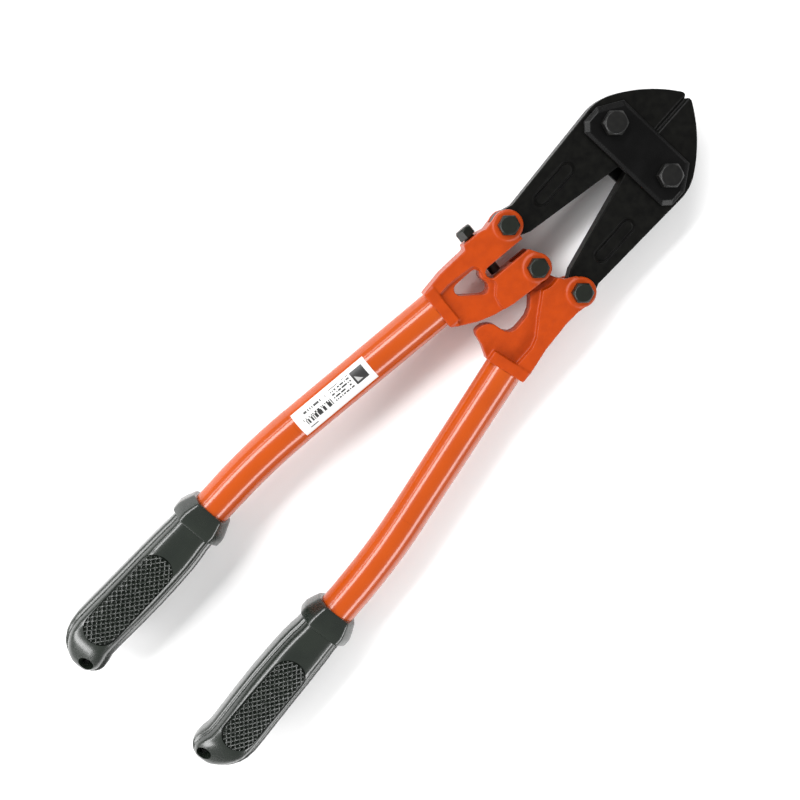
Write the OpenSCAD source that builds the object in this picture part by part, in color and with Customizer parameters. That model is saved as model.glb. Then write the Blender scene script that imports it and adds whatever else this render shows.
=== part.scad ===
// Bolt cutters with compound linkage: two jaws between two side plates,
// two forked handle heads on bent tubes, moulded grips.
// Lengths are in millimetres, the jaws point along +X, +Z is up.

/* [Part] */
// which sub-part to draw
// overall length from the jaw tips to the grip ends
length = 450; // [350:1:600]
// distance from the centre bolt to the jaw tips
tip_reach = 118; // [100:1:140]

/* [Pivots] */
// tail bolt ahead of the centre bolt
tail_pivot_x = 6; // [3:0.5:10]
// tail bolt away from the middle line
tail_pivot_y = 26.6; // [24:0.1:31]
// jaw bolt ahead of the centre bolt
jaw_pivot_x = 81; // [72:0.5:88]
// jaw bolt away from the middle line
jaw_pivot_y = 20; // [17:0.1:23]
// diameter of all five pivot bolts
bolt_d = 8; // [6:0.1:8.6]

/* [Jaws] */
// thickness of the jaws and of the tongue between the fork cheeks
jaw_thickness = 11; // [8:0.1:14]
// angle of the inner edge of each jaw arm to the middle line
vee_angle = 12.5; // [11:0.1:14]
// half width over the jaw shoulders
shoulder_y = 34.2; // [30:0.1:38]
// slope of the outer edge of the jaw arm
arm_slope = 2.4; // [0:0.1:4]
// radius of the jaw shoulder
shoulder_r = 24; // [18:0.5:28]
// radius of the long nose curve
nose_r = 80; // [60:1:110]
// radius of the rounded jaw tail around its bolt
tail_r = 8; // [7:0.1:9.2]
// depth of the ground bevel beside the cutting edge
edge_bevel = 1.2; // [0.6:0.1:3]
// raised oval pad on the jaw arm: length between its round ends
pad_length = 20; // [10:0.5:26]
// raised oval pad on the jaw arm: width
pad_width = 8; // [5:0.5:10]
// raised oval pad on the jaw arm: height above the arm
pad_height = 0.5; // [0.2:0.1:1]

/* [Side plates] */
// thickness of each side plate
plate_thickness = 4; // [3:0.1:6]
// rear edge of the side plates ahead of the centre bolt
plate_rear_x = 67.5; // [62:0.5:71]
// length of the side plates along the tool
plate_length = 26; // [22:0.5:30]
// side plate inset from the jaw shoulders
plate_inset = 2; // [0.5:0.1:4]
// clipped corners of the side plates
plate_clip = 4; // [1:0.5:7]
// how much further back the rear plate reaches
plate_overhang = 4; // [0:0.5:5]
// width of the bevel around the side plates
plate_bevel = 2.2; // [0.5:0.1:3]

/* [Handle heads] */
// thickness of the fork heads
head_thickness = 20; // [16:0.1:26]
// height of the bolt bosses above the heads
boss_height = 0.8; // [0.3:0.1:2]
// radius of the bosses around the tail bolts
boss_r = 8.3; // [7.9:0.1:9.6]
// radius of the boss and cheeks around the centre bolt
centre_boss_r = 8; // [7.5:0.1:9]
// depth of the recess in the left head
recess_depth = 2.3; // [0.5:0.1:3]
// thickness of the thin web of the right head
web_thickness = 12; // [10:0.1:15]
// width of the adjusting slot in the left head
slot_width = 6.4; // [5:0.1:7]
// radius of the lobes of the heart-shaped hole
heart_r = 3.4; // [2.5:0.1:4]
// play of the centre bolt in the tongue towards the tail bolt
pivot_travel = 3.6; // [2:0.1:4.5]
// play of the centre bolt in the tongue the other way
pivot_return = 1.2; // [0.5:0.1:2]
// length of the raised socket band at the tube
band_length = 6.5; // [4:0.1:9]

/* [Tubes] */
// outer diameter of the handle tubes
tube_d = 21.3; // [17:0.1:26]
// wall of the handle tubes
tube_wall = 1.8; // [1:0.1:3]
// start of the tube behind the centre bolt
tube_start_x = 52; // [48:0.5:60]
// start of the tube away from the middle line
tube_start_y = 24.8; // [22:0.1:30]
// outward heading of the tube at the head
tube_angle = 9; // [7:0.5:11]
// straight run between head and bend
tube_run = 98; // [80:1:110]
// centreline radius of the bend
bend_r = 400; // [250:5:500]
// heading of the tube at the grip
grip_angle = 1.5; // [0:0.5:3]
// length of the head's tang inside the tube
tang_length = 28; // [15:1:40]

/* [Grips] */
// length of the grips
grip_length = 118; // [95:1:130]
// width of the grips
grip_width = 30.4; // [27:0.1:36]
// height of the grips
grip_height = 28; // [25.5:0.1:34]
// width across the grip collar
collar_width = 32; // [28:0.1:36]
// width of the neck behind the collar
neck_width = 27; // [24.5:0.1:30]
// solid rubber behind the tube end
grip_end = 30; // [26:0.5:40]
// radius of the hanging hole in the grip tip
hang_r = 4.5; // [3:0.1:5]
// distance of the hanging hole from the grip tip
hang_back = 9.7; // [8.5:0.1:14]

/* [Fasteners] */
// width across flats of the bolt heads on the handles
hex_flats = 10.2; // [9.8:0.1:13.5]
// width across flats of the bolt heads on the jaws
jaw_hex_flats = 12; // [10:0.1:13.5]
// width across flats of the nuts
nut_flats = 12; // [11:0.1:13.5]
// height of the bolt heads
hex_height = 5.5; // [4:0.1:7]
// height of the nuts
nut_height = 6.5; // [4:0.1:8]
// thickness of the spring washers
washer_thickness = 2; // [1:0.1:3]
// adjusting screw diameter
screw_d = 6; // [4.5:0.1:7]
// adjusting screw head across flats
screw_flats = 9; // [8:0.1:11]
// adjusting screw head height
screw_head = 5.5; // [4:0.1:7]
// lean of the adjusting screw from square
screw_lean = 9; // [6:0.5:12]

/* [Label] */
// label length along the tube
label_length = 50; // [30:1:60]
// label width around the tube
label_width = 14; // [8:0.5:17]
// label thickness
label_thickness = 0.15; // [0.1:0.01:0.3]

/* [Clearances] */
// face clearance between jaws, plates and fork cheeks
face_gap = 0.1; // [0.05:0.01:0.3]
// radial clearance of running bores
bore_gap = 0.05; // [0.02:0.01:0.1]
// half gap between the closed jaws
jaw_gap = 0.05; // [0.02:0.01:0.2]
// radial clearance of pushed-together fits
fit_gap = 0.03; // [0.02:0.01:0.1]

/* [Hidden] */
$fn = 96;
eps = 0.01;
centre_x = length/2 - tip_reach;
rear_x = length - tip_reach;
half_jaw = jaw_thickness/2;
cheek_in = half_jaw + face_gap;
half_head = head_thickness/2;
boss_z = half_head + boss_height;
plate_in = half_jaw + face_gap;
plate_out = plate_in + plate_thickness;
bolt_tail = 1.8;
lift = boss_z + washer_thickness + nut_height + bolt_tail;
heel_r = jaw_pivot_y - jaw_gap;
tail_pivot = [tail_pivot_x, tail_pivot_y];
jaw_pivot = [jaw_pivot_x, jaw_pivot_y];
tube_r = tube_d/2;
bore_r = tube_r - tube_wall;
sock_r = tube_r + 0.6;
tube_start = [-tube_start_x, tube_start_y];
out_dir = [-cos(tube_angle), sin(tube_angle)];
out_side = [sin(tube_angle), cos(tube_angle)];
sock_out = tube_start + sock_r*out_side;
sock_in = tube_start - sock_r*out_side;
tail_link = norm(tail_pivot);
tail_bearing = atan2(tail_pivot_y, tail_pivot_x);
bend_turn = tube_angle - grip_angle;
run_end = tube_start + tube_run*out_dir;
bend_centre = run_end - bend_r*out_side;
bend_end = bend_centre + bend_r*[sin(grip_angle), cos(grip_angle)];
grip_start_x = -(rear_x - grip_length);
grip_run = (bend_end[0] - grip_start_x)/cos(grip_angle);
tube_tail = grip_run + grip_length - grip_end;
hang_tilt = 66;
bend_swell = 0.1;
tip_r = 30.6;
tip_lean = 13.4;

// points on an arc, from angle a to angle b
function arc(c, r, a, b, n) = [for (i = [0:n]) c + r*[cos(a + (b - a)*i/n), sin(a + (b - a)*i/n)]];

// direction that faces out of the edge from p to q of a counter-clockwise outline
function edge_out(p, q) = atan2(q[1] - p[1], q[0] - p[0]) - 90;

// puts a shape drawn about the centre bolt at its place in the tool
module place() { translate([centre_x, 0, lift]) children(); }
// the same for the right-hand side
module place_right() { place() mirror([0, 1, 0]) children(); }
// round-ended flat bar between two points
module bar(p, q, r) {
  translate(p) circle(r);
  translate(q) circle(r);
  translate(p) rotate(atan2(q[1] - p[1], q[0] - p[0])) translate([0, -r]) square([norm(q - p), 2*r]);
}
// a plate of the given half thickness
module slab(h) { translate([0, 0, -h]) linear_extrude(2*h) children(); }
// a vertical cylinder through the whole tool
module pin(p, r, h = 60) { translate([p[0], p[1], -h/2]) cylinder(r = r, h = h); }

// ---- jaws ----
nose_turn = 58;
nose_y = shoulder_y - shoulder_r - (nose_r - shoulder_r)*sin(nose_turn);
tip_turn = asin((3.2 - nose_y)/nose_r);
nose_c = [tip_reach - nose_r*cos(tip_turn), nose_y];
shoulder_c = nose_c + (nose_r - shoulder_r)*[cos(nose_turn), sin(nose_turn)];
function vee_y(x) = jaw_pivot_y - heel_r/cos(vee_angle) + (jaw_pivot_x - x)*tan(vee_angle);
module jaw_outline() {
  polygon(concat(
    arc(jaw_pivot, heel_r, -90 - vee_angle, -90, 6),
    [[tip_reach - 1.2, jaw_gap], [tip_reach, jaw_gap + 1.2]],
    arc(nose_c, nose_r, tip_turn, nose_turn, 16),
    arc(shoulder_c, shoulder_r, nose_turn, 90 + arm_slope, 10),
    [[tail_pivot_x + 10, shoulder_y - (jaw_pivot_x - tail_pivot_x - 10)*tan(arm_slope)],
     tail_pivot + [2, tail_r - 0.3], tail_pivot,
     tail_pivot + [-1, -tail_r + 0.1], [tail_pivot_x + 6, vee_y(tail_pivot_x + 6)]]));
  translate(tail_pivot) circle(tail_r);
}
module jaw() {
  pad_c = tail_pivot + [32, -4.4];
  difference() {
    union() {
      slab(half_jaw) jaw_outline();
      for (s = [-1, 1]) translate([pad_c[0], pad_c[1], s*half_jaw]) difference() {
        slab(pad_height) bar([-pad_length/2, 0], [pad_length/2, 0], pad_width/2);
        translate([0, 0, s*pad_height]) slab(0.3) bar([-pad_length/2, 0], [pad_length/2, 0], pad_width/2 - 1.1);
      }
    }
    pin(tail_pivot, bolt_d/2 + bore_gap);
    pin(jaw_pivot, bolt_d/2 + bore_gap);
    for (s = [-1, 1]) translate([plate_rear_x + plate_length + 0.6, jaw_gap, s*half_jaw])
      rotate([s*(90 - 38) - 90 + (s > 0 ? 90 : 90), 0, 0]) translate([0, -edge_bevel, -edge_bevel])
        cube([tip_reach, 2*edge_bevel, edge_bevel]);
  }
}

// ---- side plates ----
module plate_outline(rear, inset) {
  y = shoulder_y - plate_inset - inset;
  x0 = plate_rear_x - rear + inset;
  x1 = plate_rear_x + plate_length - inset;
  c = plate_clip;
  polygon([[x0, -y + c], [x0 + c, -y], [x1 - 3*c, -y], [x1, -y + 2*c],
           [x1, y - 2*c], [x1 - 3*c, y], [x0 + c, y], [x0, y - c]]);
}
module side_plate(z, side, rear) {
  low = plate_thickness*0.6;
  difference() {
    hull() {
      translate([0, 0, side > 0 ? z : z + plate_thickness - low]) linear_extrude(low) plate_outline(rear, 0);
      translate([0, 0, z]) linear_extrude(plate_thickness) plate_outline(rear, plate_bevel);
    }
    for (s = [-1, 1]) pin([jaw_pivot_x, s*jaw_pivot_y], bolt_d/2 + fit_gap);
  }
}

// ---- fasteners ----
module hex_body(f, h, top, bottom) {
  r = f/2/cos(30);
  intersection() {
    cylinder(r = r, h = h, $fn = 6);
    union() {
      translate([0, 0, h/2]) cylinder(r = r + 1, h = h/2 - (top ? 1.5 : 0));
      cylinder(r = r + 1, h = h/2);
      if (top) translate([0, 0, h - 1.5 - eps]) cylinder(r1 = r + 0.1, r2 = f/2 - 0.6, h = 1.5 + eps);
    }
    if (bottom) union() {
      cylinder(r1 = f/2 - 0.3, r2 = r + 0.1, h = 1);
      translate([0, 0, 1 - eps]) cylinder(r = r + 1, h = h);
    }
    else cylinder(r = r + 2, h = h);
  }
}
module bolt(p, top_z, bottom_z, f = hex_flats) {
  translate([p[0], p[1], top_z]) rotate(12) hex_body(f, hex_height, true, false);
  translate([p[0], p[1], bottom_z]) cylinder(r = bolt_d/2, h = top_z - bottom_z + eps);
}
module nut(p, z) {
  translate([p[0], p[1], z - nut_height]) difference() {
    rotate(40) hex_body(nut_flats, nut_height, true, true);
    translate([0, 0, -1]) cylinder(r = bolt_d/2 + fit_gap, h = nut_height + 2);
  }
}
module washer(p, z) {
  translate([p[0], p[1], z - washer_thickness]) difference() {
    cylinder(r = nut_flats/2 + 0.2, h = washer_thickness);
    translate([0, 0, -1]) cylinder(r = bolt_d/2 + 0.15, h = washer_thickness + 2);
    rotate([0, 18, 70]) translate([0, -0.6, -2]) cube([12, 1.2, 8]);
  }
}
head_nut_z = -boss_z - washer_thickness;
head_bolt_z = head_nut_z - nut_height - bolt_tail;
plate_nut_z = -plate_out - washer_thickness;
plate_bolt_z = plate_nut_z - nut_height - bolt_tail;

// ---- left head ----
fork_corner = [tail_pivot_x + 0.4, tail_pivot_y - 10.3];
arm_corner = [4.4, 9.9];
module heart() {
  a = [-35.2, 22.8];
  b = [-24.9, 21.5];
  c = [-27, 14.6];
  ba = edge_out(b, a);
  ac = edge_out(a, c);
  cb = edge_out(c, b);
  difference() {
    polygon(concat(arc(a, heart_r, ba, ac + 360, 8), arc(c, heart_r, ac, cb, 8), arc(b, heart_r, cb, ba, 6)));
    translate([-19.6, 17.9]) circle(4.1);
  }
}
module left_outline() {
  difference() {
    union() {
      polygon([sock_out, sock_out + [14, 0.6], [-18.4, tail_pivot_y + 8.2], [-17, tail_pivot_y + 10.6],
        [-6.4, tail_pivot_y + 8.9], [-2.8, tail_pivot_y + 7.3], tail_pivot + [0, boss_r - 0.2], tail_pivot,
        fork_corner, arm_corner, [centre_boss_r - 0.4, 2], [0, -2], [0, -centre_boss_r + 0.1], [-11, -5.8],
        [-22, -3.6], [-33, -0.2], [-41.5, 4], [-48.6, 9], sock_in]);
      translate(tail_pivot) circle(boss_r);
      circle(centre_boss_r);
    }
    translate([-17.6, 16.6]) rotate(-9) translate([0, -slot_width/2]) square([34, slot_width]);
    translate([-17.6, 16.6]) circle(slot_width/2);
    translate([-25, 13.6]) square([8, 0.7]);
    heart();
  }
}
module left_recess() {
  polygon([[-44.2, 29.6], [-36, 29.2], [-22, 26.2], [-20.6, 22.4], [-22.6, 18], [-19.8, 12.6], [-20.6, 10.4],
    [-25.6, 6.6], [-27.6, 1.4], [-28, -8], [-54, -4], [-48.8, 12.6]]);
}
module tail_slot() {
  pin(tail_pivot, boss_r + 0.5, 2*cheek_in);
  translate([tail_pivot_x - 1.5, tail_pivot_y - 10.6, -cheek_in]) cube([20, 22, 2*cheek_in]);
}
module tang() {
  translate([tube_start[0], tube_start[1], 0]) rotate(180 - tube_angle) rotate([0, 90, 0])
    translate([0, 0, -4]) cylinder(r = bore_r - fit_gap, h = tang_length + 4);
}
module socket_band() {
  translate([tube_start[0], tube_start[1], 0]) rotate(-tube_angle)
    translate([0, -sock_r, -tube_r]) cube([band_length, 2*sock_r, 2*tube_r]);
}
screw_base = [-11.8, tail_pivot_y + 9];
module screw_axis() { translate([screw_base[0], screw_base[1], 0]) rotate(-screw_lean) children(); }
module handle_head_left_solid() {
  difference() {
    union() {
      slab(half_head) left_outline();
      pin(tail_pivot, boss_r - 0.4, 2*boss_z);
      pin([0, 0], centre_boss_r - 0.4, 2*boss_z);
      intersection() { socket_band(); slab(tube_r) left_outline(); }
      tang();
    }
    for (s = [-1, 1]) translate([0, 0, s*(half_head + 5 - recess_depth)]) difference() {
      slab(5) left_recess();
      socket_band();
    }
    tail_slot();
    pin([0, 0], 12.8, 2*cheek_in);
    pin(tail_pivot, bolt_d/2 + bore_gap);
    pin([0, 0], bolt_d/2 + bore_gap);
    screw_axis() translate([0, 12, 0]) rotate([90, 0, 0]) cylinder(r = screw_d/2 + bore_gap, h = 34);
  }
}
module adjusting_screw_solid() {
  screw_axis() {
    translate([0, 1.8, 0]) rotate([-90, 0, 0]) {
      rotate(20) hex_body(screw_flats, screw_head, true, false);
    }
    translate([0, 1.8 + eps, 0]) rotate([90, 0, 0]) cylinder(r = screw_d/2, h = 23.8);
  }
}

// ---- right head, drawn on the left side and mirrored ----
module right_outline() {
  polygon([sock_out, sock_out + [7, -0.3], [-29, tail_pivot_y + 6.6], [-12, tail_pivot_y + 5.6], [-3, tail_pivot_y + 6],
    tail_pivot + [0, boss_r - 0.2], tail_pivot, [11.2, 19.4], [5.6, 15.4], [3, 11], [0, 0],
    [-12.3, 7.1], [-14.6, 9.4], [-18, 12.2], [-22.4, 13.9], [-31, 14.1], [-34.2, 13],
    [-36, 10.4], [-36.6, 7.4], [-37, 4], [-38.6, 1.2], [-41.4, -0.9], [-44.4, -1.8], [-46.6, -1.4],
    [-48, 0.6], [-49.6, 6], sock_in]);
  translate(tail_pivot) circle(boss_r);
}
module right_raised() {
  polygon([[-6, 10], [-19.3, 18.9], [-27.6, 25], [-33.2, 27], [-46.6, 27], [-47.6, 16], [-60, 10],
    [-60, 60], [20, 60], [20, 10]]);
}
module handle_head_right_solid() {
  difference() {
    union() {
      slab(web_thickness/2) difference() { right_outline(); circle(12.4); }
      slab(half_head) difference() { intersection() { right_outline(); right_raised(); } circle(12.4); }
      slab(half_jaw) { intersection() { right_outline(); circle(12.6); } circle(centre_boss_r - 0.1); }
      pin(tail_pivot, boss_r - 0.4, 2*boss_z);
      intersection() { socket_band(); slab(tube_r) right_outline(); }
      tang();
    }
    tail_slot();
    pin(tail_pivot, bolt_d/2 + bore_gap);
    slab(30) rotate(tail_bearing + 35) bar([0, 0], [pivot_travel, 0], bolt_d/2 + pivot_return);
  }
}

// ---- tubes ----
module tube_ring() {
  difference() {
    circle(tube_r);
    circle(bore_r);
  }
}
module handle_tube() {
  translate([tube_start[0], tube_start[1], 0]) rotate(180 - tube_angle) rotate([0, 90, 0])
    linear_extrude(tube_run) tube_ring();
  translate([bend_centre[0], bend_centre[1], 0]) rotate(90 - tube_angle)
    rotate_extrude(angle = bend_turn) translate([bend_r, 0]) difference() {
      circle(tube_r + bend_swell);
      circle(bore_r - bend_swell);
    }
  translate([bend_end[0], bend_end[1], 0]) rotate(180 - grip_angle) rotate([0, 90, 0])
    linear_extrude(tube_tail) tube_ring();
}

// ---- grips: s runs back from the collar, w away from the middle line ----
module grip_place() {
  translate([bend_end[0], bend_end[1], 0]) rotate(180 - grip_angle) translate([grip_run, 0, 0])
    mirror([0, 1, 0]) children();
}
module grip_outline() {
  w = grip_width/2;
  l = grip_length;
  polygon([[-1, -w - 4], [l - 20, -w - 4], [l - 20, w + 4], [-1, w + 4]]);
  intersection() {
    translate([l - tip_r - tip_lean*tan(grip_angle), -tip_lean]) circle(tip_r);
    translate([l - 40, -w - 0.5]) square([60, 2*w + 1.5]);
  }
}
// how the tip falls away: distance from the end, share of half the height
tip_fall = [[26, 1], [19, 0.975], [14, 0.86], [9.6, 0.67], [5, 0.47], [1.6, 0.3], [0, 0.14]];
function reversed(list) = [for (i = [len(list) - 1:-1:0]) list[i]];
module grip_solid() {
  l = grip_length;
  w = grip_width/2;
  c = collar_width/2;
  n = neck_width/2;
  h = grip_height/2;
  grip_place() difference() {
    intersection() {
      rotate([0, 90, 0]) rotate_extrude() polygon([[0, 0], [tube_r + 1.4, 0], [c - 2, 5], [c, 8.5], [c - 0.4, 13],
        [n + 0.6, 15.5], [n, 19], [n + 0.5, 26], [w - 0.4, 40], [w + 0.6, 90], [w + 0.6, l], [0, l]]);
      slab(30) grip_outline();
      translate([0, 40, 0]) rotate([90, 0, 0]) linear_extrude(80) {
        translate([-1, -h]) square([l - 20, 2*h]);
        translate([-1, -c]) square([15, 2*c]);
        polygon([for (s = [-1, 1]) for (p = (s < 0 ? tip_fall : reversed(tip_fall))) [l - p[0], s*h*p[1]]]);
      }
      translate([-1, -w, -w]) union() {
        cube([l + 2, 2*w, 2*w]);
        translate([0, w - c, w - c]) cube([15, 2*c, 2*c]);
      }
    }
    rotate([0, 90, 0]) translate([0, 0, -1]) cylinder(r = tube_r + fit_gap, h = l - grip_end + 1.2);
    translate([l - hang_back, -6.3, 0]) rotate([0, 90 - hang_tilt, 0])
      translate([0, 0, -30]) cylinder(r = hang_r, h = 60);
  }
}

// ---- label ----
module label_solid() {
  translate([tube_start[0], tube_start[1], 0]) rotate(180 - tube_angle) translate([46, 0, 0])
    intersection() {
      rotate([0, 90, 0]) difference() {
        cylinder(r = tube_r + label_thickness + 0.01, h = label_length);
        translate([0, 0, -1]) cylinder(r = tube_r + 0.01, h = label_length + 2);
      }
      translate([0, -label_width/2, 0]) cube([label_length, label_width, tube_d]);
    }
}

// ---- sub-parts ----
jaw_black = [0.06, 0.06, 0.06];
steel_black = [0.14, 0.15, 0.14];
orange = [0.85, 0.32, 0.04];
grip_green = [0.16, 0.19, 0.18];
right_jaw_pivot = [jaw_pivot_x, -jaw_pivot_y];
right_tail_pivot = [tail_pivot_x, -tail_pivot_y];

module jaw_left() { color(jaw_black) place() jaw(); }
module jaw_right() { color(jaw_black) place_right() jaw(); }
module side_plate_front() { color(jaw_black) place() side_plate(plate_in, 1, 0); }
module side_plate_back() { color(jaw_black) place() side_plate(-plate_out, -1, plate_overhang); }
module handle_head_left() { color(orange) place() handle_head_left_solid(); }
module handle_head_right() { color(orange) place_right() handle_head_right_solid(); }
module handle_tube_left() { color(orange) place() handle_tube(); }
module handle_tube_right() { color(orange) place_right() handle_tube(); }
module grip_left() { color(grip_green) place() grip_solid(); }
module grip_right() { color(grip_green) place_right() grip_solid(); }
module bolt_centre() { color(steel_black) place() bolt([0, 0], boss_z, head_bolt_z); }
module bolt_tail_left() { color(steel_black) place() bolt(tail_pivot, boss_z, head_bolt_z); }
module bolt_tail_right() { color(steel_black) place() bolt(right_tail_pivot, boss_z, head_bolt_z); }
module bolt_jaw_left() { color(steel_black) place() bolt(jaw_pivot, plate_out, plate_bolt_z, jaw_hex_flats); }
module bolt_jaw_right() { color(steel_black) place() bolt(right_jaw_pivot, plate_out, plate_bolt_z, jaw_hex_flats); }
module nut_centre() { color(steel_black) place() nut([0, 0], head_nut_z); }
module nut_tail_left() { color(steel_black) place() nut(tail_pivot, head_nut_z); }
module nut_tail_right() { color(steel_black) place() nut(right_tail_pivot, head_nut_z); }
module nut_jaw_left() { color(steel_black) place() nut(jaw_pivot, plate_nut_z); }
module nut_jaw_right() { color(steel_black) place() nut(right_jaw_pivot, plate_nut_z); }
module washer_centre() { color(steel_black) place() washer([0, 0], -boss_z); }
module washer_tail_left() { color(steel_black) place() washer(tail_pivot, -boss_z); }
module washer_tail_right() { color(steel_black) place() washer(right_tail_pivot, -boss_z); }
module washer_jaw_left() { color(steel_black) place() washer(jaw_pivot, -plate_out); }
module washer_jaw_right() { color(steel_black) place() washer(right_jaw_pivot, -plate_out); }
module adjusting_screw() { color(steel_black) place() adjusting_screw_solid(); }
module label() { color([0.95, 0.95, 0.95]) place() label_solid(); }

jaw_left();
jaw_right();
side_plate_front();
side_plate_back();
handle_head_left();
handle_head_right();
handle_tube_left();
handle_tube_right();
grip_left();
grip_right();
bolt_centre();
bolt_tail_left();
bolt_tail_right();
bolt_jaw_left();
bolt_jaw_right();
nut_centre();
nut_tail_left();
nut_tail_right();
nut_jaw_left();
nut_jaw_right();
washer_centre();
washer_tail_left();
washer_tail_right();
washer_jaw_left();
washer_jaw_right();
adjusting_screw();
label();
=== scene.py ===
import math
import bpy
from mathutils import Matrix, Vector


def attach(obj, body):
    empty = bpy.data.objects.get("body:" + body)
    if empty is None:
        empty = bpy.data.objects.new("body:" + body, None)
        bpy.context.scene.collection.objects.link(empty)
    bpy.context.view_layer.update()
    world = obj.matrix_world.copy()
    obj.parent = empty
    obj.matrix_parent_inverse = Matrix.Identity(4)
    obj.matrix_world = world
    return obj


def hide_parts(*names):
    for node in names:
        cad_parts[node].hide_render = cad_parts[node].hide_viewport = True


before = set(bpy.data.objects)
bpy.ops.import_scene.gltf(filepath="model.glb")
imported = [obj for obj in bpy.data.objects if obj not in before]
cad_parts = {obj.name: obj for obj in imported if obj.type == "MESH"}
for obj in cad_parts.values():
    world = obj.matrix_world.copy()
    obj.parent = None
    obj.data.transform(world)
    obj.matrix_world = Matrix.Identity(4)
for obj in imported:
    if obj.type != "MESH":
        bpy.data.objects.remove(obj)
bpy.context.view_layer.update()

# Floor, lights and camera. A plain pale paper sheet under the tool, lit by two
# long softboxes on the left handle's side, one opposite and one behind the grips.
bpy.ops.object.select_all(action="DESELECT")
FLOOR_DROP = 0.0004
bpy.ops.mesh.primitive_plane_add(size=6, location=(0, 0, -FLOOR_DROP))
floor = bpy.context.object
floor.name = "studio_floor"
floor_paint = bpy.data.materials.new("studio_floor_paper")
floor_paint.use_nodes = True
floor_shader = floor_paint.node_tree.nodes["Principled BSDF"]
floor_shader.inputs["Base Color"].default_value = (0.95, 0.95, 0.95, 1)
floor_shader.inputs["Roughness"].default_value = 0.85
floor.data.materials.append(floor_paint)


def add_softbox(name, place, target, size, power):
    """A flat lamp at its place, turned to face its target."""
    bpy.ops.object.light_add(type="AREA", location=place)
    lamp = bpy.context.object
    lamp.name = name
    lamp.data.shape = "RECTANGLE"
    lamp.data.size, lamp.data.size_y = size
    lamp.data.energy = power
    lamp.rotation_euler = (Vector(target) - Vector(place)).to_track_quat("-Z", "Y").to_euler()


add_softbox("left_strip", (-0.05, 0.82, 0.90), (-0.05, 0, 0), (1.9, 0.3), 21)
add_softbox("thin_left_strip", (-0.05, 1.08, 0.62), (-0.05, 0, 0), (1.9, 0.1), 5)
add_softbox("right_fill", (-0.1, -0.95, 0.62), (-0.05, 0, 0), (1.4, 0.3), 12)
add_softbox("rear_strip", (-1.25, 0.35, 0.62), (0.1, 0, 0), (1.0, 0.35), 11)

studio_air = bpy.data.worlds.new("studio_air")
studio_air.use_nodes = True
air_light = studio_air.node_tree.nodes["Background"]
air_light.inputs["Color"].default_value = (1, 1, 1, 1)
air_light.inputs["Strength"].default_value = 0.36
bpy.context.scene.world = studio_air
bpy.context.scene.view_settings.view_transform = "Standard"

look = Vector((-0.0921, -0.1519, -0.9841)).normalized()
up = Vector((0.7462, 0.6439, -0.1692)).normalized()
side = look.cross(up).normalized()
up = side.cross(look)
bpy.ops.object.camera_add(location=(0.0567, 0.0911, 0.5682))
camera = bpy.context.object
camera.name = "camera"
camera.rotation_euler = Matrix((side, up, -look)).transposed().to_euler()
camera.data.sensor_width = 36
camera.data.lens = 45.86
camera.data.clip_start = 0.01
bpy.context.scene.camera = camera


# Handle heads. Iron castings with softly rounded edges, sprayed with orange
# enamel that follows the sandy skin. Each holds a jaw tail and the centre bolt.
def new_group(name, sockets_in, sockets_out):
    """An empty shader group with its named inputs and outputs."""
    group = bpy.data.node_groups.new(name, "ShaderNodeTree")
    for label, kind, value in sockets_in:
        socket = group.interface.new_socket(name=label, in_out="INPUT", socket_type=kind)
        socket.default_value = value
    for label, kind in sockets_out:
        group.interface.new_socket(name=label, in_out="OUTPUT", socket_type=kind)
    return group, group.nodes.new("NodeGroupInput"), group.nodes.new("NodeGroupOutput")


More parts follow.
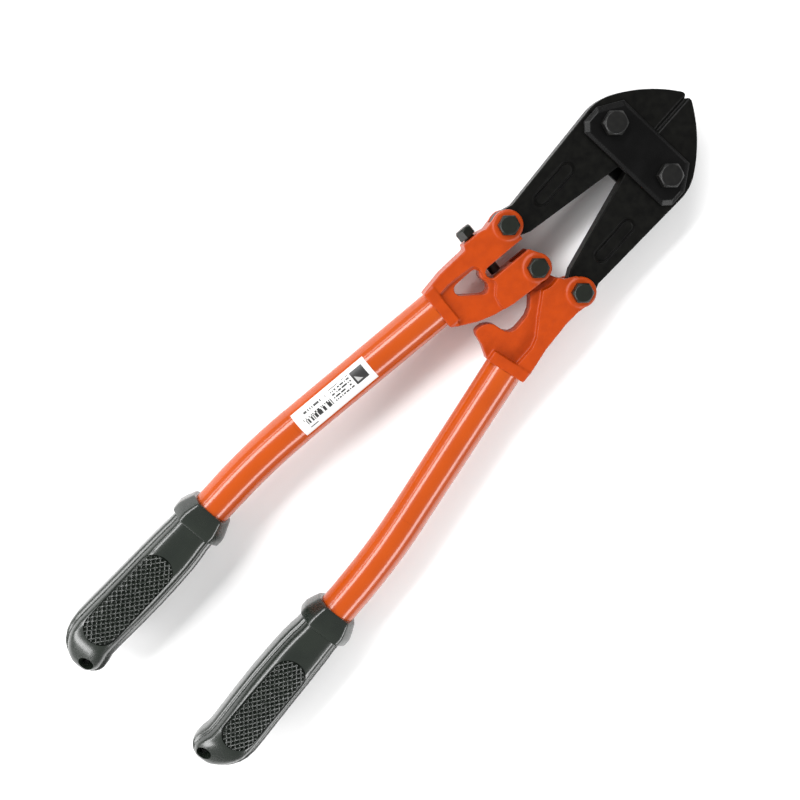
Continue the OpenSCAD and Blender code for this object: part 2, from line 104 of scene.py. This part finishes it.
def build_skin_group():
    """Fine grain over a slower waviness, with a second colour and a roughness that vary."""
    group, given, result = new_group(
        "surface skin",
        [("Grain Size", "NodeSocketFloat", 900.0), ("Grain Depth", "NodeSocketFloat", 0.3),
         ("Wave Size", "NodeSocketFloat", 60.0), ("Wave Depth", "NodeSocketFloat", 0.3),
         ("Base Colour", "NodeSocketColor", (1, 1, 1, 1)), ("Dark Colour", "NodeSocketColor", (0, 0, 0, 1)),
         ("Mottle", "NodeSocketFloat", 0.3), ("Rough Low", "NodeSocketFloat", 0.2),
         ("Rough High", "NodeSocketFloat", 0.4)],
        [("Colour", "NodeSocketColor"), ("Roughness", "NodeSocketFloat"), ("Height", "NodeSocketFloat")])
    nodes, links = group.nodes, group.links
    coords = nodes.new("ShaderNodeTexCoord")
    grain = nodes.new("ShaderNodeTexNoise")
    grain.inputs["Detail"].default_value = 3
    wave = nodes.new("ShaderNodeTexNoise")
    wave.inputs["Detail"].default_value = 2
    for noise, size in ((grain, "Grain Size"), (wave, "Wave Size")):
        links.new(coords.outputs["Object"], noise.inputs["Vector"])
        links.new(given.outputs[size], noise.inputs["Scale"])
    deep_grain = nodes.new("ShaderNodeMath")
    deep_grain.operation = "MULTIPLY"
    links.new(grain.outputs["Fac"], deep_grain.inputs[0])
    links.new(given.outputs["Grain Depth"], deep_grain.inputs[1])
    height = nodes.new("ShaderNodeMath")
    height.operation = "MULTIPLY_ADD"
    links.new(wave.outputs["Fac"], height.inputs[0])
    links.new(given.outputs["Wave Depth"], height.inputs[1])
    links.new(deep_grain.outputs[0], height.inputs[2])
    links.new(height.outputs[0], result.inputs["Height"])
    patch = nodes.new("ShaderNodeMapRange")
    patch.inputs["From Min"].default_value = 0.35
    patch.inputs["From Max"].default_value = 0.7
    links.new(wave.outputs["Fac"], patch.inputs["Value"])
    amount = nodes.new("ShaderNodeMath")
    amount.operation = "MULTIPLY"
    links.new(patch.outputs["Result"], amount.inputs[0])
    links.new(given.outputs["Mottle"], amount.inputs[1])
    blend = nodes.new("ShaderNodeMix")
    blend.data_type = "RGBA"
    links.new(amount.outputs[0], blend.inputs[0])
    links.new(given.outputs["Base Colour"], blend.inputs[6])
    links.new(given.outputs["Dark Colour"], blend.inputs[7])
    links.new(blend.outputs[2], result.inputs["Colour"])
    rough = nodes.new("ShaderNodeMapRange")
    links.new(grain.outputs["Fac"], rough.inputs["Value"])
    links.new(given.outputs["Rough Low"], rough.inputs["To Min"])
    links.new(given.outputs["Rough High"], rough.inputs["To Max"])
    links.new(rough.outputs["Result"], result.inputs["Roughness"])
    return group


skin_group = build_skin_group()


def finish_material(name, values, bump, bump_step=0.0003, **shader_values):
    """A material whose colour, roughness and relief come from the surface skin."""
    material = bpy.data.materials.new(name)
    material.use_nodes = True
    nodes, links = material.node_tree.nodes, material.node_tree.links
    shader = nodes["Principled BSDF"]
    for label, value in shader_values.items():
        shader.inputs[label.replace("_", " ")].default_value = value
    skin = nodes.new("ShaderNodeGroup")
    skin.node_tree = skin_group
    for label, value in values.items():
        skin.inputs[label].default_value = value
    links.new(skin.outputs["Colour"], shader.inputs["Base Color"])
    links.new(skin.outputs["Roughness"], shader.inputs["Roughness"])
    relief = nodes.new("ShaderNodeBump")
    relief.inputs["Strength"].default_value = bump
    relief.inputs["Distance"].default_value = bump_step
    links.new(skin.outputs["Height"], relief.inputs["Height"])
    links.new(relief.outputs["Normal"], shader.inputs["Normal"])
    return material


def weld_node(name):
    """Joins the node's loose triangles at their corners and gives the node back."""
    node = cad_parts[name]
    weld = node.modifiers.new("weld", "WELD")
    weld.merge_threshold = 0.00002
    return node


def soften_casting(name):
    """Wears down every edge of the node, as sand moulding does."""
    node = weld_node(name)
    skin = node.modifiers.new("cast_skin", "REMESH")
    skin.mode = "VOXEL"
    skin.voxel_size = 0.00045
    skin.use_smooth_shade = True
    soft = node.modifiers.new("sand_worn_edges", "SMOOTH")
    soft.factor = 0.5
    soft.iterations = 7


def paint(name, material):
    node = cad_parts[name]
    node.data.materials.clear()
    node.data.materials.append(material)


head_enamel = finish_material(
    "orange_enamel_on_casting",
    {"Grain Size": 700, "Grain Depth": 0.5, "Wave Size": 160, "Wave Depth": 1.0,
     "Base Colour": (0.37, 0.041, 0.0005, 1), "Dark Colour": (0.28, 0.029, 0.0004, 1),
     "Mottle": 0.5, "Rough Low": 0.3, "Rough High": 0.46},
    bump=0.35, bump_step=0.0006, IOR=1.34)
for head in ("handle_head_left", "handle_head_right"):
    soften_casting(head)
    paint(head, head_enamel)

# Handle tubes. Drawn steel tube, bent once, pushed over the tang of its head and
# sprayed with the same enamel, which lies smoother here than on the castings.
tube_enamel = finish_material(
    "orange_enamel_on_tube",
    {"Grain Size": 500, "Grain Depth": 0.3, "Wave Size": 45, "Wave Depth": 0.4,
     "Base Colour": (0.40, 0.056, 0.0008, 1), "Dark Colour": (0.33, 0.042, 0.0006, 1),
     "Mottle": 0.4, "Rough Low": 0.2, "Rough High": 0.3},
    bump=0.12, bump_step=0.0004, IOR=1.36, Coat_Weight=0.5, Coat_Roughness=0.05)
for tube in ("handle_tube_left", "handle_tube_right"):
    paint(tube, tube_enamel)

# Jaws. Drop-forged steel, blackened all over, with a ground bevel along the
# cutting edge. Each turns on its jaw bolt and is pinned in a handle head by its tail.
def round_node(name, edge, steps=3, angle=28, clamp=True):
    """Bevels the node's edges that are sharper than the angle, in degrees."""
    node = weld_node(name)
    flat = node.modifiers.new("flat", "DECIMATE")
    flat.decimate_type = "DISSOLVE"
    flat.angle_limit = math.radians(1)
    soft = node.modifiers.new("soft_edges", "BEVEL")
    soft.width = edge
    soft.segments = steps
    soft.limit_method = "ANGLE"
    soft.angle_limit = math.radians(angle)
    soft.use_clamp_overlap = clamp


forged_black = finish_material(
    "black_oxide_forging",
    {"Grain Size": 1100, "Grain Depth": 0.5, "Wave Size": 220, "Wave Depth": 0.6,
     "Base Colour": (0.002, 0.002, 0.0018, 1), "Dark Colour": (0.006, 0.006, 0.005, 1),
     "Mottle": 0.7, "Rough Low": 0.26, "Rough High": 0.5},
    bump=0.3, bump_step=0.0003, IOR=1.22)
for jaw in ("jaw_left", "jaw_right"):
    round_node(jaw, 0.0006, clamp=False)
    paint(jaw, forged_black)

# Side plates. Two straps sheared from steel plate and blackened, with eased
# edges. They lie on both faces of the jaws and are held by the two jaw bolts.
plate_black = finish_material(
    "black_oxide_plate",
    {"Grain Size": 1500, "Grain Depth": 0.3, "Wave Size": 90, "Wave Depth": 0.3,
     "Base Colour": (0.0015, 0.0015, 0.0015, 1), "Dark Colour": (0.004, 0.004, 0.004, 1),
     "Mottle": 0.6, "Rough Low": 0.2, "Rough High": 0.4},
    bump=0.2, bump_step=0.0002, IOR=1.26)
for plate in ("side_plate_front", "side_plate_back"):
    round_node(plate, 0.0004, steps=2, angle=12)
    paint(plate, plate_black)

# Bolts, nuts, spring washers and the adjusting screw. Hexagon fasteners with
# an oiled black oxide finish.
oiled_black = finish_material(
    "oiled_black_fastener",
    {"Grain Size": 1600, "Grain Depth": 0.3, "Wave Size": 300, "Wave Depth": 0.3,
     "Base Colour": (0.004, 0.006, 0.003, 1), "Dark Colour": (0.002, 0.003, 0.001, 1),
     "Mottle": 0.8, "Rough Low": 0.26, "Rough High": 0.48},
    bump=0.25, bump_step=0.0002, Specular_IOR_Level=0.45)
dry_black = finish_material(
    "dry_black_fastener",
    {"Grain Size": 1600, "Grain Depth": 0.3, "Wave Size": 300, "Wave Depth": 0.3,
     "Base Colour": (0.004, 0.004, 0.004, 1), "Dark Colour": (0.010, 0.010, 0.009, 1),
     "Mottle": 0.7, "Rough Low": 0.24, "Rough High": 0.44},
    bump=0.25, bump_step=0.0002, IOR=1.38)
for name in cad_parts:
    if name.startswith(("bolt_", "nut_", "washer_")) or name == "adjusting_screw":
        round_node(name, 0.0003, steps=2)
        paint(name, dry_black if "jaw" in name else oiled_black)

# Grips. Thick glossy vinyl mouldings pushed over the tube ends: an eight-sided
# collar, a waisted sleeve with a ledge along both sides, a knurled panel on
# each face, and a slanted hanging hole in the tip.
GRIP_TURN = math.radians(-1.5)
GRIP_PLACE = Vector((-0.1070, 0.04526, 0.0211))
BODY_HEIGHT = 0.014
# distance behind the collar's front, outer edge, inner edge, share of the full height
SLEEVE_STATIONS = [
    (12.6, 13.2, -13.2, 0.94), (15.5, 13.3, -13.3, 0.94), (19, 13.3, -13.5, 0.945), (24, 13.7, -14.3, 0.96),
    (32, 14.1, -15.0, 0.985), (42, 14.5, -15.3, 1.0), (58, 15.0, -15.4, 1.0), (72, 15.5, -15.0, 1.0),
    (84, 16.0, -14.5, 1.0), (93, 16.3, -14.1, 0.995), (99, 15.7, -14.1, 0.95), (103.8, 14.4, -15.2, 0.84),
    (108.4, 12.0, -15.7, 0.68), (110.8, 10.3, -15.4, 0.59), (113, 8.0, -14.3, 0.5), (115.4, 4.6, -12.2, 0.4),
    (116.7, 2.2, -10.4, 0.32), (117.6, -0.4, -8.4, 0.22), (118, -1.8, -6.6, 0.13)]
# one quarter of the sleeve's cross-section, from the top round to the side
SLEEVE_QUARTER = [
    (0.0, 1.0), (0.22, 0.997), (0.40, 0.985), (0.55, 0.96), (0.66, 0.915), (0.74, 0.84), (0.79, 0.73),
    (0.815, 0.60), (0.835, 0.535), (0.865, 0.515), (0.92, 0.50), (0.965, 0.455), (0.99, 0.36), (1.0, 0.2)]
# distance behind the front and size of each ring of the eight-sided collar
COLLAR_STATIONS = [
    (0, 0.77), (0.5, 0.80), (1.6, 0.83), (4.5, 0.91), (7.8, 0.985), (9.0, 1.0), (12.4, 1.0), (13.1, 0.985),
    (13.5, 0.95), (13.9, 0.84)]
PANEL_FRONT, PANEL_BACK, PANEL_HALF_WIDTH = 0.0345, 0.0972, 0.0097
PANEL_BULGE = 0.0152
PANEL_RIM = 0.0005
# the last depth is how far below the crown the knurling's faces start to take the darker vinyl, painted shade
# in the pits
PIT_DEPTH, RIDGE_HEIGHT, PIT_SHADE_DEPTH = 0.00095, 0.0012, 0.0006
KNURL_PITCH, KNURL_ANGLE = 0.00245, math.radians(38)
TUBE_BORE, TUBE_BORE_LENGTH = 0.0107, 0.178
HANG_PLACE, HANG_RADIUS, HANG_SLANT = Vector((-0.1083, -0.0063, 0)), 0.0045, math.radians(66)


def select_only(*things):
    bpy.ops.object.select_all(action="DESELECT")
    for thing in things:
        thing.select_set(True)
    bpy.context.view_layer.objects.active = things[0]


def loft(name, ring, stations):
    """A closed ring drawn out backwards through its stations and capped."""
    bpy.ops.object.select_all(action="DESELECT")
    bpy.ops.mesh.primitive_circle_add(vertices=len(ring), radius=1, fill_type="NOTHING")
    piece = bpy.context.object
    piece.name = name
    place, middle, half_width, half_height = stations[0]
    for vertex, (across, height) in zip(piece.data.vertices, ring):
        vertex.co = (-place, middle + across * half_width, height * half_height)
    bpy.ops.object.mode_set(mode="EDIT")
    bpy.ops.mesh.select_all(action="SELECT")
    bpy.ops.mesh.edge_face_add()
    bpy.ops.mesh.select_all(action="SELECT")
    for after, next_middle, next_width, next_height in stations[1:]:
        bpy.ops.mesh.extrude_region_move(
            TRANSFORM_OT_translate={"value": (place - after, next_middle - middle, 0)})
        bpy.ops.transform.resize(
            value=(1, next_width / half_width, next_height / half_height),
            center_override=(-after, next_middle, 0))
        place, middle, half_width, half_height = after, next_middle, next_width, next_height
    bpy.ops.mesh.select_all(action="SELECT")
    bpy.ops.mesh.normals_make_consistent(inside=False)
    bpy.ops.object.mode_set(mode="OBJECT")
    return piece


def cut_away(piece, cutter):
    """Takes the cutter out of the piece and removes the cutter."""
    cut = piece.modifiers.new("cut", "BOOLEAN")
    cut.operation = "DIFFERENCE"
    cut.solver = "EXACT"
    cut.object = cutter
    select_only(piece)
    bpy.ops.object.modifier_apply(modifier=cut.name)
    bpy.data.objects.remove(cutter)


def add_round_bar(radius, depth, location, rotation, sides=48):
    bpy.ops.object.select_all(action="DESELECT")
    bpy.ops.mesh.primitive_cylinder_add(
        vertices=sides, radius=radius, depth=depth, location=location, rotation=rotation)
    return bpy.context.object


def crown(across):
    """Height of the sleeve's top over the panel, as a share of the full height."""
    for (near, high), (far, low) in zip(SLEEVE_QUARTER, SLEEVE_QUARTER[1:]):
        if near <= across <= far:
            return high + (low - high) * (across - near) / (far - near)
    return SLEEVE_QUARTER[-1][1]


def rib(value):
    """Rounded ridge around each whole number."""
    off = abs(value - round(value))
    return max(0.0, 1 - (off / 0.3) ** 2)


def panel_middle(back):
    """Sideways place of the panel's middle line, which leans a little outwards."""
    return 0.0002 + (back - PANEL_FRONT) / (PANEL_BACK - PANEL_FRONT) * 0.0012


def add_panel(face):
    """Diamond knurling over a round-ended area, on the top (1) or the bottom (-1)."""
    length = PANEL_BACK - PANEL_FRONT
    bpy.ops.object.select_all(action="DESELECT")
    bpy.ops.mesh.primitive_grid_add(x_subdivisions=212, y_subdivisions=68, size=1)
    panel = bpy.context.object
    start, end = PANEL_FRONT + PANEL_HALF_WIDTH, PANEL_BACK - PANEL_HALF_WIDTH
    for vertex in panel.data.vertices:
        back = PANEL_FRONT + (vertex.co.x + 0.5) * length
        limit = PANEL_HALF_WIDTH
        if back < start or back > end:
            into = min(abs(back - start), abs(back - end))
            limit = math.sqrt(max(0.0, PANEL_HALF_WIDTH ** 2 - into ** 2))
        across = 2 * vertex.co.y * limit
        along = back * math.sin(KNURL_ANGLE) / KNURL_PITCH
        over = across * math.cos(KNURL_ANGLE) / KNURL_PITCH
        ridge = max(rib(along + over), rib(along - over))
        from_rim = min((1 - abs(2 * vertex.co.y)) * limit, back - PANEL_FRONT, PANEL_BACK - back)
        middle = panel_middle(back)
        top = crown(min(1.0, abs(across + middle) / PANEL_BULGE)) * BODY_HEIGHT
        height = top - PIT_DEPTH + (RIDGE_HEIGHT * ridge if from_rim >= PANEL_RIM else 0.0)
        vertex.co = (-back, across + middle, face * height)
    panel.data.materials.append(vinyl)
    panel.data.materials.append(pit_shade_vinyl)
    # faces deep in the knurling's pits take the second, darker vinyl: painted shade where the pits fall into
    # shadow
    for side in panel.data.polygons:
        corners = [panel.data.vertices[i].co for i in side.vertices]
        low = min(crown(min(1.0, abs(c.y) / PANEL_BULGE)) * BODY_HEIGHT - abs(c.z) for c in corners)
        side.material_index = 1 if low > PIT_SHADE_DEPTH else 0
    if face > 0:
        bpy.ops.object.mode_set(mode="EDIT")
        bpy.ops.mesh.select_all(action="SELECT")
        bpy.ops.mesh.flip_normals()
        bpy.ops.object.mode_set(mode="OBJECT")
    return panel


def cut_panel_pocket(sleeve, face):
    """Sinks the round-ended bed that the knurling lies in."""
    bpy.ops.object.select_all(action="DESELECT")
    bpy.ops.mesh.primitive_circle_add(vertices=96, radius=PANEL_HALF_WIDTH + 0.0002, fill_type="NGON")
    pocket = bpy.context.object
    reach = (PANEL_BACK - PANEL_FRONT) / 2 - PANEL_HALF_WIDTH
    centre = -(PANEL_BACK + PANEL_FRONT) / 2
    for vertex in pocket.data.vertices:
        back = -(centre + vertex.co.x)
        vertex.co.y += panel_middle(back)
        vertex.co.x += centre + (reach if vertex.co.x >= 0 else -reach)
        vertex.co.z = face * (BODY_HEIGHT - 0.0022)
    bpy.ops.object.mode_set(mode="EDIT")
    bpy.ops.mesh.select_all(action="SELECT")
    bpy.ops.mesh.extrude_region_move(TRANSFORM_OT_translate={"value": (0, 0, face * 0.006)})
    bpy.ops.mesh.select_all(action="SELECT")
    bpy.ops.mesh.normals_make_consistent(inside=False)
    bpy.ops.object.mode_set(mode="OBJECT")
    cut_away(sleeve, pocket)


def build_grip(name):
    """One whole grip, its front at the origin and its tip towards -X."""
    side = SLEEVE_QUARTER + [(x, -z) for x, z in reversed(SLEEVE_QUARTER)]
    ring = side + [(-x, z) for x, z in reversed(side[1:-1])]
    stations = [(back / 1000, (out + inner) / 2000, (out - inner) / 2000, share * BODY_HEIGHT)
                for back, out, inner, share in SLEEVE_STATIONS]
    sleeve = loft(name, ring, stations)
    sleeve.data.materials.append(vinyl)
    for face in (1, -1):
        cut_panel_pocket(sleeve, face)
    flat, tall = 0.62, 0.42
    corners = [(flat, 1), (1, tall), (1, -tall), (flat, -1), (-flat, -1), (-1, -tall), (-1, tall), (-flat, 1)]
    soft_ring = []
    for i, corner in enumerate(corners):
        here = Vector(corner)
        before = (Vector(corners[i - 1]) - here).normalized() * 0.11
        beyond = (Vector(corners[(i + 1) % 8]) - here).normalized() * 0.11
        for step in range(4):
            t = step / 3
            soft_ring.append(here + before * (1 - t) ** 2 + beyond * t ** 2)
    collar = loft(name + "_collar", [tuple(p) for p in soft_ring],
                  [(back / 1000, 0, size * 0.0158, size * 0.0146) for back, size in COLLAR_STATIONS])
    collar.data.materials.append(vinyl)
    bore_way = (0, math.pi / 2, 0)
    for part in (sleeve, collar):
        cut_away(part, add_round_bar(TUBE_BORE, TUBE_BORE_LENGTH, (0.001, 0, 0), bore_way, 64))
    hang_way = Vector((-math.cos(HANG_SLANT), 0, math.sin(HANG_SLANT)))
    cut_away(sleeve, add_round_bar(
        HANG_RADIUS, 0.04, HANG_PLACE, hang_way.to_track_quat("Z", "Y").to_euler()))
    panels = [add_panel(face) for face in (1, -1)]
    select_only(sleeve, collar, *panels)
    bpy.ops.object.join()
    bpy.ops.object.shade_smooth_by_angle(angle=math.radians(32))
    return sleeve


def place_grip(piece, side_sign, node, body):
    """Moves a grip to its tube, mirrored for the right side, and ties it to its body."""
    piece.matrix_world = (Matrix.Diagonal((1, side_sign, 1, 1)) @ Matrix.Translation(GRIP_PLACE)
                          @ Matrix.Rotation(GRIP_TURN, 4, "Z"))
    select_only(piece)
    bpy.ops.object.transform_apply(location=True, rotation=True, scale=True)
    if side_sign < 0:
        bpy.ops.object.mode_set(mode="EDIT")
        bpy.ops.mesh.select_all(action="SELECT")
        bpy.ops.mesh.flip_normals()
        bpy.ops.object.mode_set(mode="OBJECT")
    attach(piece, body)
    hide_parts(node)


vinyl_skin = {
    "Grain Size": 900, "Grain Depth": 0.3, "Wave Size": 70, "Wave Depth": 0.5,
    "Base Colour": (0.010, 0.014, 0.010, 1), "Dark Colour": (0.005, 0.008, 0.006, 1),
    "Mottle": 0.6, "Rough Low": 0.2, "Rough High": 0.34}
vinyl = finish_material(
    "dark_vinyl", vinyl_skin, bump=0.15, bump_step=0.0004, Coat_Weight=0.4, Coat_Roughness=0.15)
# a darker, less shiny copy of the vinyl for the bottoms of the knurling: painted shade in the pits
pit_shade_vinyl = finish_material(
    "vinyl_with_painted_shade_in_the_knurling",
    {**vinyl_skin, "Base Colour": (0.008, 0.010, 0.008, 1), "Dark Colour": (0.004, 0.005, 0.004, 1)},
    bump=0.15, bump_step=0.0004, Specular_IOR_Level=0.2)
left_sleeve = build_grip("left_grip_sleeve")
right_sleeve = left_sleeve.copy()
right_sleeve.data = left_sleeve.data.copy()
right_sleeve.name = "right_grip_sleeve"
bpy.context.collection.objects.link(right_sleeve)
place_grip(left_sleeve, 1, "grip_left", "left_handle")
place_grip(right_sleeve, -1, "grip_right", "right_handle")

# Label. A white paper sticker wrapped over the left tube, printed in black with
# a row of bars, blocks of small lines and a plain dark square.
def node_math(tree, operation, first, second=None):
    """A math node on numbers or sockets; gives its output socket."""
    node = tree.nodes.new("ShaderNodeMath")
    node.operation = operation
    for i, value in enumerate((first, second)):
        if value is None:
            continue
        if isinstance(value, (int, float)):
            node.inputs[i].default_value = value
        else:
            tree.links.new(value, node.inputs[i])
    return node.outputs[0]


def build_print_group():
    """Ink mask from a position along (X) and across (Y) the label, in metres."""
    group, given, result = new_group(
        "label print", [("Position", "NodeSocketVector", (0, 0, 0))], [("Ink", "NodeSocketFloat")])
    split = group.nodes.new("ShaderNodeSeparateXYZ")
    group.links.new(given.outputs["Position"], split.inputs["Vector"])
    along, across = split.outputs["X"], split.outputs["Y"]

    def inside(low, high, left, right):
        a = node_math(group, "GREATER_THAN", along, low)
        b = node_math(group, "LESS_THAN", along, high)
        c = node_math(group, "GREATER_THAN", across, left)
        d = node_math(group, "LESS_THAN", across, right)
        lengthways = node_math(group, "MULTIPLY", a, b)
        return node_math(group, "MULTIPLY", lengthways, node_math(group, "MULTIPLY", c, d))

    def cells(size_along, size_across, seed):
        place = group.nodes.new("ShaderNodeCombineXYZ")
        for i, (way, size) in enumerate(((along, size_along), (across, size_across))):
            cell = node_math(group, "FLOOR", node_math(group, "DIVIDE", way, size))
            group.links.new(cell, place.inputs[i])
        place.inputs[2].default_value = seed
        noise = group.nodes.new("ShaderNodeTexWhiteNoise")
        noise.noise_dimensions = "3D"
        group.links.new(place.outputs[0], noise.inputs["Vector"])
        return noise.outputs["Value"]

    def rows(spacing, share):
        turn = node_math(group, "FRACT", node_math(group, "DIVIDE", across, spacing))
        return node_math(group, "LESS_THAN", turn, share)

    def band(pattern, *limits):
        return node_math(group, "MULTIPLY", inside(*limits), pattern)

    # bars of uneven width, with a row of small marks on one side and a dash on the other
    bars = node_math(group, "GREATER_THAN", cells(0.00052, 0.1, 3), 0.52)
    marks = node_math(group, "GREATER_THAN", cells(0.0007, 0.1, 5), 0.45)
    # rows of small print
    row_pitch = 0.00175
    dashes = node_math(group, "GREATER_THAN", cells(0.0006, row_pitch, 7), 0.35)
    lines = node_math(group, "MULTIPLY", rows(row_pitch, 0.5), dashes)
    # plain dark square with a lighter slanting patch
    slant = node_math(group, "GREATER_THAN", node_math(group, "ADD", along, across), 0.0542)
    patch = band(slant, 0.0505, 0.0560, -0.0034, 0.0018)
    square = node_math(group, "SUBTRACT", inside(0.0490, 0.0572, -0.0046, 0.0030),
                       node_math(group, "MULTIPLY", patch, 0.55))
    ink = square
    for part in (band(bars, 0.0730, 0.0925, -0.0010, 0.0028),
                 band(marks, 0.0745, 0.0920, -0.0042, -0.0030),
                 band(lines, 0.0585, 0.0715, -0.0048, 0.0026),
                 inside(0.0860, 0.0912, 0.0044, 0.0050)):
        ink = node_math(group, "MAXIMUM", ink, part)
    group.links.new(ink, result.inputs["Ink"])
    return group


paper = finish_material(
    "label_paper",
    {"Grain Size": 2500, "Grain Depth": 0.2, "Wave Size": 100, "Wave Depth": 0.2,
     "Base Colour": (0.66, 0.66, 0.65, 1), "Dark Colour": (0.60, 0.60, 0.59, 1),
     "Mottle": 0.4, "Rough Low": 0.35, "Rough High": 0.5}, bump=0.05)
ink_mask = paper.node_tree.nodes.new("ShaderNodeGroup")
ink_mask.node_tree = build_print_group()
paper_place = paper.node_tree.nodes.new("ShaderNodeTexCoord")
tube_line = paper.node_tree.nodes.new("ShaderNodeMapping")
tube_line.vector_type = "TEXTURE"
tube_line.inputs["Location"].default_value = (0.055, 0.0248, 0)
tube_line.inputs["Rotation"].default_value = (0, 0, math.radians(171))
inked = paper.node_tree.nodes.new("ShaderNodeMix")
inked.data_type = "RGBA"
inked.inputs[7].default_value = (0.02, 0.02, 0.02, 1)
paper_links = paper.node_tree.links
paper_links.new(paper_place.outputs["Object"], tube_line.inputs["Vector"])
paper_links.new(tube_line.outputs["Vector"], ink_mask.inputs["Position"])
paper_links.new(ink_mask.outputs["Ink"], inked.inputs[0])
paper_colour = paper.node_tree.nodes["Principled BSDF"].inputs["Base Color"]
paper_links.new(paper_colour.links[0].from_socket, inked.inputs[6])
paper_links.new(inked.outputs[2], paper_colour)
paint("label", paper)
